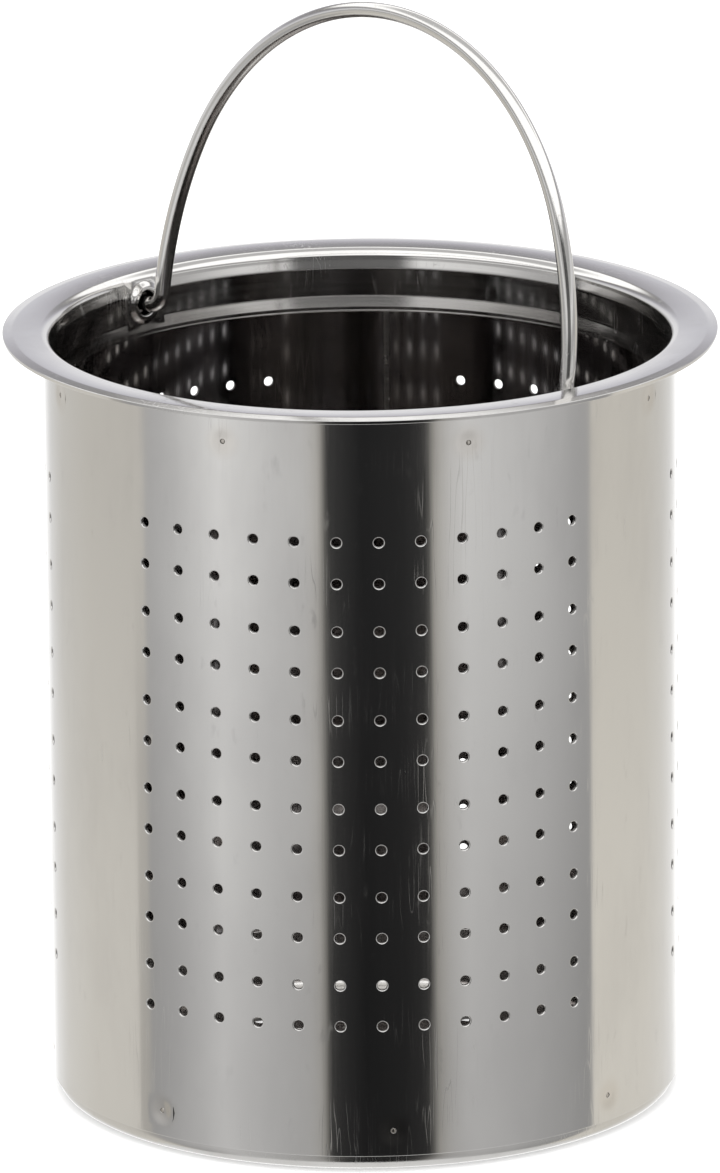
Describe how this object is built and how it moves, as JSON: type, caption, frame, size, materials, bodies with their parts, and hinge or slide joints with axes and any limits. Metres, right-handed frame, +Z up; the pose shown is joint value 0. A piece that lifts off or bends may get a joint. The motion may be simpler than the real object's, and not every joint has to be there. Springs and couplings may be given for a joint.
{
  "type": "basket strainer",
  "caption": "Round sheet-metal basket strainer with panels of small holes, a flared flange that hangs it in a drain, a dished base and a folding wire bail.",
  "frame": {"origin": "centre of the underside of the base pan, on the basket's axis", "axes": "+Z up along the basket's axis, out of the open mouth; +X along the bail's pivot axis, with the bail leaning towards +Y at rest"},
  "size_m": [0.1084, 0.1084, 0.1677],
  "materials": {
    "polished_sheet": "mirror-polished stainless sheet with fine scratches",
    "seam_weld": "ground weld, slightly duller than the sheet",
    "polished_rim": "polished stainless, spun and flared",
    "spot_weld": "bare welded steel in a shallow dent",
    "pan_sheet": "drawn stainless sheet, satin inside",
    "bail_wire": "bright drawn stainless wire"
  },
  "bodies": {
    "basket": {"perforated_shell": "polished_sheet", "shell_seam_weld": "seam_weld", "rim_collar": "polished_rim", "rim_spot_welds": "spot_weld", "base_pan": "pan_sheet", "base_spot_welds": "spot_weld"},
    "bail": {"bail_handle": "bail_wire"}
  },
  "joints": [
    {"name": "bail_hinge", "type": "hinge", "parent": "basket", "child": "bail", "pos_m": [0, 0, 0.1144], "axis": [1, 0, 0], "range_deg": [-68.6, 85.4]}
  ]
}
